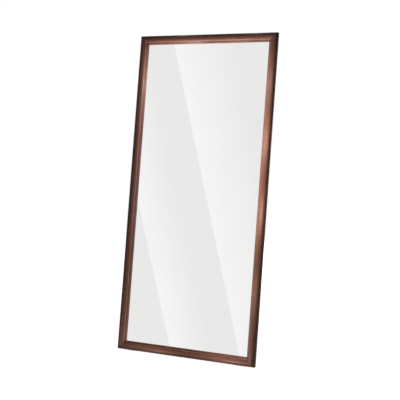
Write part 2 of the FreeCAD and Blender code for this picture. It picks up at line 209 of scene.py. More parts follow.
def drawn(name, points, faces):
    return new_object(name, mesh_of(name, points, (), faces))


def grow(piece, tree, **sizes):
    """Run a tree on a piece and keep the result as its plain mesh."""
    modifier = piece.modifiers.new(tree.name, "NODES")
    modifier.node_group = tree
    for socket in tree.interface.items_tree:
        label = socket.name.replace(" ", "_")
        if socket.in_out == "INPUT" and label in sizes:
            modifier[socket.identifier] = sizes[label]
    return keep_result(piece)


def keep_result(piece):
    """Replace a piece's mesh by what its modifiers make of it, and drop them."""
    depsgraph = bpy.context.evaluated_depsgraph_get()
    mesh = bpy.data.meshes.new_from_object(piece.evaluated_get(depsgraph))
    piece.modifiers.clear()
    piece.data = mesh
    return piece


def welded(mesh):
    """A mesh opened for work, with the points that lie on each other made one."""
    work = bmesh.new()
    work.from_mesh(mesh)
    bmesh.ops.remove_doubles(work, verts=work.verts, dist=WELD)
    return work


def tidy(piece, place=LEANING, sharp=35):
    """Weld a closed mesh, turn its faces outwards, put it in place and smooth its rounds."""
    mesh = piece.data
    work = welded(mesh)
    bmesh.ops.recalc_face_normals(work, faces=work.faces)
    open_edges = sum(not edge.is_manifold for edge in work.edges)
    work.to_mesh(mesh)
    work.free()
    mesh.transform(place)
    mesh.shade_smooth()
    mesh.set_sharp_from_angle(angle=math.radians(sharp))
    print(piece.name, len(mesh.polygons), "faces,", open_edges, "open edges")
    return piece


def stand_for(piece, body, slot, *replaced):
    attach(piece, body)
    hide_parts(*replaced)
    return piece


# %% [markdown]
# ## Materials: shared pieces
# Every finish here is a Principled shader, with colour, roughness and bump from noise laid out
# in metres, so that a pore or a scratch has its real size. The moulding's finish reads a UV
# map; all others read Object coordinates, which are the mesh's own.

# %% Helpers for materials
def new_material(name):
    material = bpy.data.materials.new(name)
    material.use_nodes = True
    return material, material.node_tree, material.node_tree.nodes["Principled BSDF"]


def object_coordinates(tree):
    return add(tree, "ShaderNodeTexCoord").outputs["Object"]


def noise(tree, vector, stretch, detail=2.0, roughness=0.5):
    """Noise with so many cells to the metre along each axis."""
    scaled = field(tree, "ShaderNodeVectorMath", {0: vector, 1: stretch}, operation="MULTIPLY")
    inputs = {"Vector": scaled, "Scale": 1.0, "Detail": detail, "Roughness": roughness}
    return add(tree, "ShaderNodeTexNoise", inputs).outputs["Fac"]


def crossed_noise(tree, vector, fine, coarse, *detail):
    """Two layers of fibres or scratches, one along each way."""
    return [noise(tree, vector, stretch, *detail)
            for stretch in ((fine, fine, coarse), (coarse, fine, fine))]


def remap(tree, value, low, high, to_low=0.0, to_high=1.0):
    inputs = {0: value, 1: low, 2: high, 3: to_low, 4: to_high}
    return field(tree, "ShaderNodeMapRange", inputs)


def near(tree, value, middle, reach):
    """1 at a value, falling to 0 at a distance from it."""
    away = maths(tree, "ABSOLUTE", minus(tree, value, middle))
    return remap(tree, away, 0.0, reach, 1.0, 0.0)


def ramp(tree, value, *stops):
    """A colour ramp; each stop is (place, (red, green, blue))."""
    node = add(tree, "ShaderNodeValToRGB", {0: value})
    elements = node.color_ramp.elements
    while len(elements) < len(stops):
        elements.new(0.5)
    for element, (place, colour) in zip(elements, stops):
        element.position = place
        element.color = (*colour, 1)
    return node.outputs[0]


def blend_colours(tree, share, first, second):
    node = add(tree, "ShaderNodeMix", data_type="RGBA")
    for socket, value in ((0, share), (6, first), (7, second)):
        if isinstance(value, bpy.types.NodeSocket):
            tree.links.new(value, node.inputs[socket])
        else:
            node.inputs[socket].default_value = value if socket == 0 else (*value, 1)
    return node.outputs[2]


def bump(tree, height, distance, strength=1.0, below=None):
    inputs = {"Height": height, "Distance": distance, "Strength": strength}
    if below is not None:
        inputs["Normal"] = below
    return field(tree, "ShaderNodeBump", inputs)


def connect(tree, shader, colour, roughness, normal):
    for name, socket in (("Base Color", colour), ("Roughness", roughness), ("Normal", normal)):
        tree.links.new(socket, shader.inputs[name])


# %% [markdown]
# ## Stained walnut
# The moulding is dark, reddish walnut under a satin lacquer. Its figure is long streaks with
# hair-fine pores, and both run along each length, so the noise is stretched hard along the UV
# map named "grain": metres along the length, and metres round the section. Painted shade darkens
# the outer shoulder and fades over the crown, more painted shade darkens the groove beside the
# lip, and painted highlights lighten two small arrises, broken up by noise. The section itself is
# stored on the mesh, so these places are known exactly. The outer sides get less lacquer, and the
# flat back is left bare, so it stays duller and a little paler.

# %% Walnut moulding
# places on the section, from its outer edge: where the painted shade on the outer shoulder is
# full and where it ends; the painted shade in the groove and the painted highlights on two
# arrises as (place, reach)
SHOULDER_SHADE_FULL, SHOULDER_SHADE_ENDS = 11.0 * MM, 19.0 * MM
LACQUER = (0.5 * MM, 6.0 * MM)
GROOVE_SHADE = (36.5 * MM, 1.2 * MM)
HIGHLIGHT_ARRISES = ((34.6 * MM, 1.8 * MM), (43.9 * MM, 1.3 * MM))
# the height from the back below which the wood is bare
BARE_BACK = 0.2 * MM


def walnut():
    material, tree, shader = new_material("stained_walnut")
    grain = field(tree, "ShaderNodeUVMap", uv_map="grain")
    drift = remap(tree, noise(tree, grain, (1.4, 11.0, 1.0)), 0, 1, -0.004, 0.004)
    shift = field(tree, "ShaderNodeCombineXYZ", {1: drift})
    bent = field(tree, "ShaderNodeVectorMath", {0: grain, 1: shift}, operation="ADD")
    figure = noise(tree, bent, (1.3, 70.0, 1.0), 3.0)
    streaks = noise(tree, bent, (5.0, 330.0, 1.0), 4.0, 0.6)
    pores = remap(tree, noise(tree, bent, (40.0, 1900.0, 1.0), 2.0), 0.36, 0.46)
    tone = plus(tree, times(tree, figure, 0.55), times(tree, streaks, 0.45))
    wood = ramp(tree, tone, (0.30, (0.105, 0.033, 0.019)), (0.46, (0.205, 0.079, 0.049)),
                (0.58, (0.285, 0.120, 0.079)), (0.74, (0.390, 0.188, 0.134)))
    wood = blend_colours(tree, pores, (0.085, 0.028, 0.018), wood)

    section = add(tree, "ShaderNodeAttribute", attribute_name="section").outputs["Vector"]
    place = add(tree, "ShaderNodeSeparateXYZ", {0: section}).outputs
    # painted shade: the groove beside the lip is darkened where shade falls in it
    groove = near(tree, place[0], *GROOVE_SHADE)
    # painted highlights: two arrises are lightened, in patches from noise
    arris_highlight = maths(tree, "MAXIMUM", *[near(tree, place[0], *arris) for arris in HIGHLIGHT_ARRISES])
    patchy = remap(tree, noise(tree, grain, (22.0, 160.0, 1.0)), 0.36, 0.62, 0.35, 1.0)
    arris_highlight = times(tree, arris_highlight, patchy)
    # painted shade: the outer shoulder is darkened, fading out over the crown
    shoulder_shade = remap(tree, place[0], SHOULDER_SHADE_ENDS, SHOULDER_SHADE_FULL, 0.0, 0.42)
    # the colours of the painted shade in the groove, the painted highlights and the painted shade
    # on the outer shoulder
    for share, colour in ((times(tree, groove, 0.7), (0.050, 0.017, 0.011)),
                          (times(tree, arris_highlight, 0.9), (0.52, 0.30, 0.235)),
                          (shoulder_shade, (0.030, 0.011, 0.008))):
        wood = blend_colours(tree, share, wood, colour)
    bare = remap(tree, place[1], BARE_BACK + MM, BARE_BACK)
    dull = blend_colours(tree, 0.55, wood, (0.17, 0.10, 0.065))
    wood = blend_colours(tree, bare, wood, dull)

    satin = remap(tree, streaks, 0.3, 0.7, 0.34, 0.44)
    rough = plus(tree, satin, times(tree, bare, 0.3))
    relief = bump(tree, pores, 0.00008, 0.5)
    relief = bump(tree, streaks, 0.00015, 0.35, relief)
    connect(tree, shader, wood, rough, relief)
    lacquer = remap(tree, place[0], *LACQUER, 0.03, 0.20)
    tree.links.new(lacquer, shader.inputs["Specular IOR Level"])
    shader.inputs["Coat Weight"].default_value = 0.04
    shader.inputs["Coat Roughness"].default_value = 0.25
    return material


walnut_moulding = walnut()
print("walnut has", len(walnut_moulding.node_tree.nodes), "nodes")

# %% [markdown]
# ## The moulding
# The frame is four lengths of one moulding, mitred at the corners. A moulding is a section
# swept along a line, so it is a job for Geometry Nodes: the section is drawn once, as a closed
# loop of points (s inwards from the outer edge, t from the back to the front), and the tree
# sweeps it. The mitres need no cutting: a point at distance s from the outer edge ends s short
# of the corner, and that is a 45 degree cut. The very ends are drawn in by a fraction of a
# millimetre, which leaves the fine V line that every glued mitre shows.

# %% Draw the section
def arc(centre, radius, start, end, steps):
    """Points on an arc, with the angles in degrees from the s axis."""
    points = []
    for i in range(steps + 1):
        angle = math.radians(start + (end - start) * i / steps)
        points.append((centre[0] + radius * math.cos(angle), centre[1] + radius * math.sin(angle)))
    return points


FACE_WIDTH, SHOULDER, CROWN, THICK = 45.0, 15.0, 17.5, 32.0
SLOPE_RADIUS, SLOPE_ANGLE = 21.8026, 55.65
RABBET_WALL, RABBET_DEPTH = 35.0, 9.8


def moulding_section():
    """The section's outline in millimetres, starting in the rabbet where no eye gets."""
    points = [(RABBET_WALL, RABBET_DEPTH)]
    points += arc((RABBET_WALL - 0.4, 0.4), 0.4, 0, -90, 3)
    points += [(RABBET_WALL - 0.9, 0), (1.2, 0)]
    points += arc((0.6, 0.6), 0.6, -90, -180, 4) + [(0, 1.2)]
    points += arc((SHOULDER, THICK - SHOULDER), SHOULDER, 180, 90, 18)
    points += arc((CROWN, THICK - SLOPE_RADIUS), SLOPE_RADIUS, 90, 93 - SLOPE_ANGLE, 16)
    points += arc((34.75, 21.98), 0.75, 90 - SLOPE_ANGLE, 0, 5)
    points += arc((36.5, 21.7), 1.0, 180, 222, 5)
    points += [(36.2, 20.54), (44.2, 13.22)]
    points += arc((FACE_WIDTH - 1.2, 11.6), 1.2, 44, 0, 5)
    points += arc((FACE_WIDTH - 0.3, RABBET_DEPTH + 0.3), 0.3, 0, -90, 2)
    return points


def inward_normals(points):
    """For each point, the direction into the wood, from its two neighbours."""
    normals = []
    for i, point in enumerate(points):
        before, after = points[i - 1], points[(i + 1) % len(points)]
        along = Vector((after[0] - before[0], after[1] - before[1])).normalized()
        normals.append(Vector((along.y, -along.x, 0)))
    return normals


section = moulding_section()
inward = inward_normals(section)
print("section of", len(section), "points")


# %% Sweep it into a mitred length
def moulding_tree():
    """Inputs: Length of the outer edge, Stations along it, Mitre Gap, Grain Start, Material."""
    tree, inputs = geometry_tree(
        "mitred_moulding", ["Length", "Stations", "Mitre Gap", "Grain Start", "Material"])
    profile = field(tree, "GeometryNodeMeshToCurve", {"Mesh": inputs["Geometry"]})
    count = plus(tree, inputs["Stations"], 2.0)
    line = field(tree, "GeometryNodeMeshLine", {"Count": count})
    index = field(tree, "GeometryNodeInputIndex")
    spans = minus(tree, inputs["Stations"], 1.0)
    share = maths(tree, "DIVIDE", minus(tree, index, 1.0), spans)
    inside = field(tree, "ShaderNodeClamp", {0: share})
    outside = maths(tree, "ABSOLUTE", minus(tree, share, inside))
    tip = maths(tree, "GREATER_THAN", outside, 1e-4)
    along = minus(tree, times(tree, inside, 2.0), 1.0)
    for name, value in (("along", along), ("tip", tip)):
        line = field(tree, "GeometryNodeStoreNamedAttribute",
                     {"Geometry": line, "Name": name, "Value": value})
    path = field(tree, "GeometryNodeMeshToCurve", {"Mesh": line})
    sweep = field(tree, "GeometryNodeCurveToMesh",
                  {"Curve": path, "Profile Curve": profile, "Fill Caps": True})

    place, into = [
        add(tree, "ShaderNodeSeparateXYZ", {0: attribute(tree, name, "FLOAT_VECTOR")}).outputs
        for name in ("section", "inward")]
    pinch = times(tree, attribute(tree, "tip"), inputs["Mitre Gap"])
    s, t = [plus(tree, place[i], times(tree, into[i], pinch)) for i in (0, 1)]
    half = times(tree, inputs["Length"], 0.5)
    end = minus(tree, minus(tree, half, s), minus(tree, inputs["Mitre Gap"], pinch))
    x = times(tree, attribute(tree, "along"), end)
    point = field(tree, "ShaderNodeCombineXYZ", {0: x, 1: times(tree, t, -1.0), 2: s})
    shaped = field(tree, "GeometryNodeSetPosition", {"Geometry": sweep, "Position": point})
    u = plus(tree, x, inputs["Grain Start"])
    uv = field(tree, "ShaderNodeCombineXYZ", {0: u, 1: place[2]})
    mapped = add(tree, "GeometryNodeStoreNamedAttribute", {"Geometry": shaped, "Name": "grain"},
                 data_type="FLOAT2", domain="CORNER")
    tree.links.new(uv, mapped.inputs["Value"])
    finish_tree(tree, mapped.outputs[0], inputs["Material"])
    return tree


def section_mesh(name):
    """The section as a closed loop, with the values that the sweep and the walnut finish read."""
    count = len(section)
    points = [(s * MM, t * MM, 0) for s, t in section]
    mesh = mesh_of(name, points, [(i, (i + 1) % count) for i in range(count)])
    run, stored = 0.0, []
    for i, point in enumerate(points):
        run += math.dist(point, points[i - 1]) if i else 0.0
        stored.append((point[0], point[1], run))
    for label, values in (("section", stored), ("inward", inward)):
        layer = mesh.attributes.new(label, "FLOAT_VECTOR", "POINT")
        layer.data.foreach_set("vector", [c for value in values for c in value])
    return mesh


SIDES = {
    "bottom_rail": (0, Vector((0, 0, 0)), FRAME_WIDTH),
    "left_stile": (90, Vector((-FRAME_WIDTH / 2, 0, FRAME_HEIGHT / 2)), FRAME_HEIGHT),
    "top_rail": (180, Vector((0, 0, FRAME_HEIGHT)), FRAME_WIDTH),
    "right_stile": (-90, Vector((FRAME_WIDTH / 2, 0, FRAME_HEIGHT / 2)), FRAME_HEIGHT),
}


def on_side(side):
    """The move from the bottom rail, where pieces are drawn, to another side of the frame."""
    turn, place, _ = SIDES[side]
    return Matrix.Translation(place) @ Matrix.Rotation(math.radians(turn), 4, "Y")


STATIONS, MITRE_GAP, GRAIN_STEP = 25, 0.25 * MM, 7.3
sweep_moulding = moulding_tree()
for number, (side, (_, _, length)) in enumerate(SIDES.items()):
    member = new_object(side + "_moulding", section_mesh(side))
    grow(member, sweep_moulding, Length=length, Stations=STATIONS, Mitre_Gap=MITRE_GAP,
         Grain_Start=GRAIN_STEP * number, Material=walnut_moulding)
    tidy(member, LEANING @ on_side(side))
    stand_for(member, "frame", "walnut_moulding", side)

# %% [markdown]
# ## The mirror pane
# The pane is 4 mm float glass, silvered and painted on its back, with ground edges and a small
# arris. Rays that enter the glass would look the same and take far longer, so the front is a
# polished metal, a shade warmer than the room, as in the photograph. Wiping leaves broad,
# barely duller swirls.

# %% Finishes of the pane
def silvering():
    material, tree, shader = new_material("silvered_front")
    where = object_coordinates(tree)
    wiped = remap(tree, noise(tree, where, (4.0, 4.0, 2.2), 3.0), 0.35, 0.75)
    dust = remap(tree, noise(tree, where, (900.0, 900.0, 900.0), 1.0), 0.62, 0.80)
    colour = blend_colours(tree, wiped, (0.934, 0.926, 0.920), (0.918, 0.910, 0.905))
    rough = plus(tree, remap(tree, wiped, 0, 1, 0.0, 0.02), times(tree, dust, 0.02))
    relief = bump(tree, noise(tree, where, (2.5, 2.5, 1.6), 0.0), 0.00002, 0.2)
    connect(tree, shader, colour, rough, relief)
    shader.inputs["Metallic"].default_value = 1.0
    return material


def plain_finish(name, colours, grain_size, rough, height):
    """A finish that is even but for a fine grain and a slow drift of its tone."""
    material, tree, shader = new_material(name)
    where = object_coordinates(tree)
    fine = noise(tree, where, (1 / grain_size,) * 3, 3.0, 0.6)
    slow = noise(tree, where, (9.0, 9.0, 9.0), 2.0)
    tone = plus(tree, times(tree, fine, 0.6), times(tree, slow, 0.4))
    colour = ramp(tree, tone, (0.34, colours[0]), (0.66, colours[1]))
    connect(tree, shader, colour, remap(tree, fine, 0.3, 0.7, *rough),
            bump(tree, fine, height, 0.6))
    return material


silvered_front = silvering()
ground_edge = plain_finish("ground_glass_edge", ((0.07, 0.16, 0.13), (0.14, 0.27, 0.22)),
                           0.6 * MM, (0.18, 0.36), 0.04 * MM)
backing_paint = plain_finish("mirror_backing_paint", ((0.17, 0.18, 0.19), (0.24, 0.25, 0.26)),
                             1.2 * MM, (0.5, 0.7), 0.03 * MM)


# %% Cut the pane
PANE_ARRIS = 0.4 * MM


def pane():
    low, high = turned_box("mirror_glass", UPRIGHT)
    work = bmesh.new()
    bmesh.ops.create_cube(work, size=1.0)
    for vertex in work.verts:
        vertex.co = Vector([(low[i] + high[i]) / 2 + vertex.co[i] * (high[i] - low[i])
                            for i in range(3)])
    bmesh.ops.bevel(work, geom=work.edges[:], offset=PANE_ARRIS, segments=2, profile=0.7,
                    affect="EDGES")
    mesh = bpy.data.meshes.new("mirror_pane")
    work.to_mesh(mesh)
    work.free()
    for finish in (silvered_front, ground_edge, backing_paint):
        mesh.materials.append(finish)
    for face in mesh.polygons:
        face.material_index = 0 if face.normal.y < -0.99 else 2 if face.normal.y > 0.99 else 1
    return new_object("mirror_pane", mesh)


mirror_pane = tidy(pane(), sharp=2)
stand_for(mirror_pane, "frame", "silvered_glass", "mirror_glass")

# %% [markdown]
# ## Behind the glass
# Hardboard is pressed brown fibre, flecked with paler and darker fibres. The foam, its tape and
# the rubber blocks are hidden once the frame is closed. These CAD solids have the right shapes,
# so they stay and only get their finishes.

# %% Hardboard, foam and rubber
def hardboard():
    material, tree, shader = new_material("brown_hardboard")
    where = object_coordinates(tree)
    one_way, other_way = crossed_noise(tree, where, 700.0, 190.0, 3.0, 0.6)
    fibres = maths(tree, "MAXIMUM", one_way, other_way)
    slow = noise(tree, where, (2.0, 2.0, 1.4), 3.0)
    board = ramp(tree, slow, (0.35, (0.205, 0.113, 0.058)), (0.65, (0.265, 0.150, 0.080)))
    pale = remap(tree, fibres, 0.60, 0.74, 0.0, 0.75)
    dark = remap(tree, maths(tree, "MINIMUM", one_way, other_way), 0.40, 0.28, 0.0, 0.7)
    board = blend_colours(tree, pale, board, (0.40, 0.25, 0.14))
    board = blend_colours(tree, dark, board, (0.085, 0.042, 0.022))
    connect(tree, shader, board, remap(tree, fibres, 0.4, 0.7, 0.48, 0.68),
            bump(tree, fibres, 0.00010, 0.5))
    return material


board_finish = hardboard()
white_foam = plain_finish("white_foam", ((0.74, 0.74, 0.72), (0.86, 0.86, 0.84)),
                          0.9 * MM, (0.75, 0.92), 0.15 * MM)
black_foam = plain_finish("black_foam_tape", ((0.018, 0.018, 0.019), (0.045, 0.045, 0.046)),
                          0.6 * MM, (0.8, 0.95), 0.12 * MM)
rubber = plain_finish("black_rubber", ((0.016, 0.016, 0.017), (0.042, 0.041, 0.040)),
                      0.35 * MM, (0.55, 0.78), 0.05 * MM)
FINISHES = {"backing_board": board_finish, "foam_sheet": white_foam, "rabbet_tape": black_foam,
            "setting_block": rubber, "edge_spacers": rubber}
for node, solid in nodes.items():
    for start, finish in FINISHES.items():
        if node.startswith(start):
            solid.data.materials.clear()
            solid.data.materials.append(finish)
            print(node, "is", finish.name)

# %% [markdown]
# ## Zinc-plated steel
# The hardware is stamped sheet and wire with a thin zinc plating: light bluish grey with cloudy
# patches, a little yellow where the plating is passivated, and fine scratches from the tumbling
# drum, which are long thin noise in two directions.

# %% Plated steel
def plated_steel():
    material, tree, shader = new_material("zinc_plated_steel")
    where = object_coordinates(tree)
    clouds = noise(tree, where, (160.0, 160.0, 160.0), 3.0)
    scratches = maths(tree, "MAXIMUM", *crossed_noise(tree, where, 2600.0, 260.0))
    scratches = remap(tree, scratches, 0.60, 0.76)
    metal = ramp(tree, clouds, (0.34, (0.50, 0.51, 0.52)), (0.52, (0.62, 0.62, 0.60)),
                 (0.68, (0.69, 0.67, 0.60)))
    metal = blend_colours(tree, times(tree, scratches, 0.5), metal, (0.78, 0.78, 0.77))
    rough = minus(tree, remap(tree, clouds, 0.3, 0.7, 0.30, 0.46), times(tree, scratches, 0.08))
    connect(tree, shader, metal, rough, bump(tree, scratches, 0.00003, 0.4))
    shader.inputs["Metallic"].default_value = 1.0
    return material


steel = plated_steel()
print("steel has", len(steel.node_tree.nodes), "nodes")


# %% [markdown]
# ## Stamped plates
# Corner plates and turn buttons are punched from sheet: a flat outline with holes, whose edge
# the punch leaves soft. A filled 2D curve does this directly: inner splines become holes,
# extrude gives the thickness and a fine bevel rounds the edge.

# %% Rounded outlines
def fillet(before, corner, after, radius, steps=6):
    """Points of an arc that rounds a corner between its two neighbours."""
    a = (Vector(before) - Vector(corner)).normalized()
    b = (Vector(after) - Vector(corner)).normalized()
    half_angle = a.angle(b) / 2
    start = Vector(corner) + a * radius / math.tan(half_angle)
    end = Vector(corner) + b * radius / math.tan(half_angle)
    centre = Vector(corner) + (a + b).normalized() * radius / math.sin(half_angle)
    sweep = (start - centre).angle_signed(end - centre)
    return [centre + Matrix.Rotation(-sweep * i / steps, 2) @ (start - centre)
            for i in range(steps + 1)]


def rounded_outline(corners):
    """Corners are (x, z, radius), in order round the plate."""
    points = []
    for i, (x, z, radius) in enumerate(corners):
        if radius:
            before, after = corners[i - 1], corners[(i + 1) % len(corners)]
            points += fillet(before[:2], (x, z), after[:2], radius)
        else:
            points.append(Vector((x, z)))
    return points


def circle(x, z, radius, steps=24):
    return [Vector((x + radius * math.cos(math.tau * i / steps),
                    z + radius * math.sin(math.tau * i / steps))) for i in range(steps)]


def stamped_plate(name, outline, holes, under, over, edge=0.2 * MM):
    """A plate between two heights behind the frame's back, drawn upright in x and z."""
    curve = bpy.data.curves.new(name, "CURVE")
    curve.dimensions, curve.fill_mode = "2D", "BOTH"
    curve.extrude, curve.bevel_depth = (over - under) / 2 - edge, edge
    curve.bevel_resolution, curve.offset = 1, -edge
    for points in (outline, *holes):
        spline = curve.splines.new("POLY")
        spline.points.add(len(points) - 1)
        for point, place in zip(spline.points, points):
            point.co = (place[0], place[1], 0, 1)
        spline.use_cyclic_u = True
    plate = new_object(name, curve)
    mesh = bpy.data.meshes.new_from_object(plate)
    bpy.data.objects.remove(plate)
    # the curve lies in x and y: its y becomes the height z, its thickness runs along y
    upright = Matrix(((1, 0, 0, 0), (0, 0, -1, (under + over) / 2), (0, 1, 0, 0), (0, 0, 0, 1)))
    mesh.transform(upright)
    mesh.materials.append(steel)
    return new_object(name, mesh)


# %% Where the fasteners are
def solids_in(node):
    """Boxes, drawn upright, of the separate solids that share a CAD node, in order of place."""
    work = welded(nodes[node].data)
    left, boxes = set(work.verts), []
    while left:
        todo, found = [left.pop()], []
        while todo:
            vertex = todo.pop()
            found.append(UPRIGHT @ vertex.co)
            for edge in vertex.link_edges:
                other = edge.other_vert(vertex)
                if other in left:
                    left.discard(other)
                    todo.append(other)
        boxes.append(box_of(found))
    work.free()
    return sorted(boxes, key=lambda box: box[0][:])


def screw_axes(node):
    """Middle of each screw, with the height of its head's top behind the frame's back."""
    return [Vector(((low.x + high.x) / 2, high.y, (low.z + high.z) / 2))
            for low, high in solids_in(node)]


screws = {node: screw_axes(node) for node in (
    "corner_plate_screws", "turn_button_screws", "hanger_screws")}
print({node: len(places) for node, places in screws.items()})


# %% Corner plates
PLATE_WIDTH, PLATE_ROUND, PLATE_CROOK, PLATE_HOLE = 16 * MM, 3 * MM, 2 * MM, 1.9 * MM


def corner_plate(node):
    low, high = turned_box(node, UPRIGHT)
    right, top = (low + high).x > 0, (low + high).z > FRAME_HEIGHT
    outer = Vector((high.x if right else low.x, high.z if top else low.z))
    inwards = Vector((-1 if right else 1, -1 if top else 1))
    leg = high.x - low.x
    corners = [(0, 0), (leg, 0), (leg, PLATE_WIDTH), (PLATE_WIDTH, PLATE_WIDTH),
               (PLATE_WIDTH, leg), (0, leg)]
    outline = rounded_outline([
        (outer.x + inwards.x * a, outer.y + inwards.y * b,
         PLATE_CROOK if a == b == PLATE_WIDTH else PLATE_ROUND) for a, b in corners])
    holes = [circle(place.x, place.z, PLATE_HOLE) for place in screws["corner_plate_screws"]
             if low.x < place.x < high.x and low.z < place.z < high.z]
    plate = stamped_plate(node + "_stamping", outline, holes, low.y, high.y)
    return stand_for(tidy(plate), "frame", "zinc_steel", node)


for place in ("bottom_left", "bottom_right", "top_left", "top_right"):
    corner_plate("corner_plate_" + place)


# %% Turn buttons
BUTTON_TAIL, BUTTON_NOSE, BUTTON_HOLE = 6 * MM, 3.1 * MM, 1.75 * MM


def button_outline(pivot, tip):
    """A round tail and a narrower rounded tip, joined by straight flanks."""
    reach = (tip - pivot).length
    ahead = (tip - pivot).normalized()
    across = Vector((-ahead.y, ahead.x))
    lean_in = math.asin((BUTTON_TAIL - BUTTON_NOSE) / (reach - BUTTON_NOSE))
    points = []
    for centre, radius, start, sweep in (
        (pivot, BUTTON_TAIL, math.pi / 2 - lean_in, math.pi + 2 * lean_in),
        (pivot + ahead * (reach - BUTTON_NOSE), BUTTON_NOSE, lean_in - math.pi / 2,
         math.pi - 2 * lean_in),
    ):
        for i in range(25):
            angle = start + sweep * i / 24
            points.append(centre + radius * (ahead * math.cos(angle) + across * math.sin(angle)))
    return points


def turn_button(node):
    low, high = turned_box(node, UPRIGHT)
    middle = (low + high) / 2
    nearest = min(screws["turn_button_screws"], key=lambda place: (place - middle).length)
    pivot = Vector((nearest.x, nearest.z))
    ends = [Vector((x, pivot.y)) for x in (low.x, high.x)]
    ends += [Vector((pivot.x, z)) for z in (low.z, high.z)]
    tip = max(ends, key=lambda end: (end - pivot).length)
    outline = button_outline(pivot, tip)
    plate = stamped_plate(node + "_stamping", outline, [circle(*pivot, BUTTON_HOLE)], low.y,
                          high.y)
    return stand_for(tidy(plate), node, "zinc_steel", node)


for node in sorted(frame["bodies"]):
    if node.startswith("turn_button_"):
        turn_button(node)

# %% [markdown]
# ## Screws
# All screws are one size: a pan head with a cross recess and a tapered, threaded shank. One is
# modelled well, and Geometry Nodes puts a copy on each place, each with its own turn from a
# seeded random value, since no one lines up cross recesses by hand.

# %% One screw
def tube_faces(rows, steps):
    """Faces round a closed tube of rows of points, with a cap at each end."""
    faces = [tuple(range(steps)), tuple(range((rows - 1) * steps, rows * steps))]
    for start in range(0, (rows - 1) * steps, steps):
        for i in range(steps):
            j = (i + 1) % steps
            faces.append((start + i, start + j, start + steps + j, start + steps + i))
    return faces


def lathe(stations, steps):
    """Points and faces of a closed turned piece: (radius, y) stations round the y axis."""
    points = []
    for radius, y in stations:
        for i in range(steps):
            angle = math.tau * i / steps
            points.append((radius * math.cos(angle), y, radius * math.sin(angle)))
    return points, tube_faces(len(stations), steps)


HEAD_HEIGHT, HEAD_RADIUS, SHANK, LENGTH = 1.9, 3.5, 1.6, 14.0
THREAD_PITCH, THREAD_CORE, NECK = 1.4, 1.15, 4.0


def pan_head():
    """A shallow dome with a rolled brim, its top at y = 0."""
    stations = [(0.02, 0)]
    for i in range(1, 7):
        angle = math.radians(15 * i)
        stations.append((2.3 * math.sin(angle) + 0.9 * i / 6, -0.75 * (1 - math.cos(angle))))
    stations += [(3.42, -1.0), (HEAD_RADIUS, -1.3), (HEAD_RADIUS, -1.75), (3.42, -HEAD_HEIGHT),
                 (0.02, -HEAD_HEIGHT)]
    return drawn("screw_head", *lathe([(r * MM, y * MM) for r, y in stations], 28))


def cross_cutter():
    """Two crossed, tapered blades: the shape of the driver's tip."""
    points, faces = [], []
    for turn in (0, math.pi / 2):
        start = len(points)
        for y, half, wide in ((0.3, 2.1, 0.42), (-1.35, 0.9, 0.26)):
            for a, b in ((-half, -wide), (half, -wide), (half, wide), (-half, wide)):
                x = a * math.cos(turn) - b * math.sin(turn)
                z = a * math.sin(turn) + b * math.cos(turn)
                points.append((x * MM, y * MM, z * MM))
        faces += [tuple(start + i for i in face) for face in tube_faces(2, 4)]
    return drawn("cross_cutter", points, faces)


def threaded_shank():
    """A closed rod whose radius rises and falls with a helix, and narrows to a point."""
    steps, rows = 16, 60
    points = []
    for row in range(rows + 1):
        depth = NECK + (LENGTH - NECK) * row / rows if row else HEAD_HEIGHT - 0.2
        for i in range(steps):
            angle = math.tau * i / steps
            phase = ((depth - NECK) / THREAD_PITCH - i / steps) % 1.0
            ridge = max(0.0, 1 - abs(phase - 0.5) / 0.3)
            fade = min(1.0, max(0.0, depth - NECK) / 1.0)
            radius = THREAD_CORE + (SHANK - THREAD_CORE) * ridge * fade
            radius = radius if row > 1 else 1.45
            radius *= min(1.0, (LENGTH - depth) / 3.0 + 0.06)
            points.append((radius * MM * math.cos(angle), -depth * MM,
                           radius * MM * math.sin(angle)))
    return points, tube_faces(rows + 1, steps)


def outward(mesh):
    work = bmesh.new()
    work.from_mesh(mesh)
    bmesh.ops.recalc_face_normals(work, faces=work.faces)
    work.to_mesh(mesh)
    work.free()


def screw_template():
    head, cutter = pan_head(), cross_cutter()
    outward(head.data)
    outward(cutter.data)
    recess = head.modifiers.new("cross_recess", "BOOLEAN")
    recess.object, recess.operation, recess.use_self = cutter, "DIFFERENCE", True
    keep_result(head)
    bpy.data.objects.remove(cutter)
    work = bmesh.new()
    work.from_mesh(head.data)
    points, faces = threaded_shank()
    rod = mesh_of("shank", points, (), faces)
    outward(rod)
    work.from_mesh(rod)
    work.to_mesh(head.data)
    work.free()
    head.data.shade_smooth()
    head.data.set_sharp_from_angle(angle=math.radians(35))
    return head


screw = screw_template()
print("one screw has", len(screw.data.polygons), "faces")


# %% Copies on their places
def copies_tree():
    """Inputs: the Template, a random Turn about y with its Seed, and the Material."""
    tree, inputs = geometry_tree("copies_on_places", ["Template", "Turn", "Seed", "Material"])
    drawn = add(tree, "GeometryNodeObjectInfo", {"Object": inputs["Template"]})
    chance = add(tree, "FunctionNodeRandomValue", {3: inputs["Turn"], "Seed": inputs["Seed"]},
                 data_type="FLOAT").outputs[1]
    angle = plus(tree, attribute(tree, "turn"), chance)
    rotation = add(tree, "FunctionNodeAxisAngleToRotation", {"Axis": (0, 1, 0), "Angle": angle})
    copies = add(tree, "GeometryNodeInstanceOnPoints",
                 {"Points": inputs["Geometry"], "Instance": drawn.outputs["Geometry"],
                  "Rotation": rotation.outputs[0]})
    finish_tree(tree, copies.outputs[0], inputs["Material"])
    return tree


def copies(name, template, places, material, turns=None, spread=0.0, seed=1):
    """One mesh with a copy of the template on each place; turns are fixed angles about y."""
    points = mesh_of(name, places)
    layer = points.attributes.new("turn", "FLOAT", "POINT")
    layer.data.foreach_set("value", turns or [0.0] * len(places))
    piece = new_object(name, points)
    return grow(piece, put_copies, Template=template, Turn=spread, Seed=seed, Material=material)


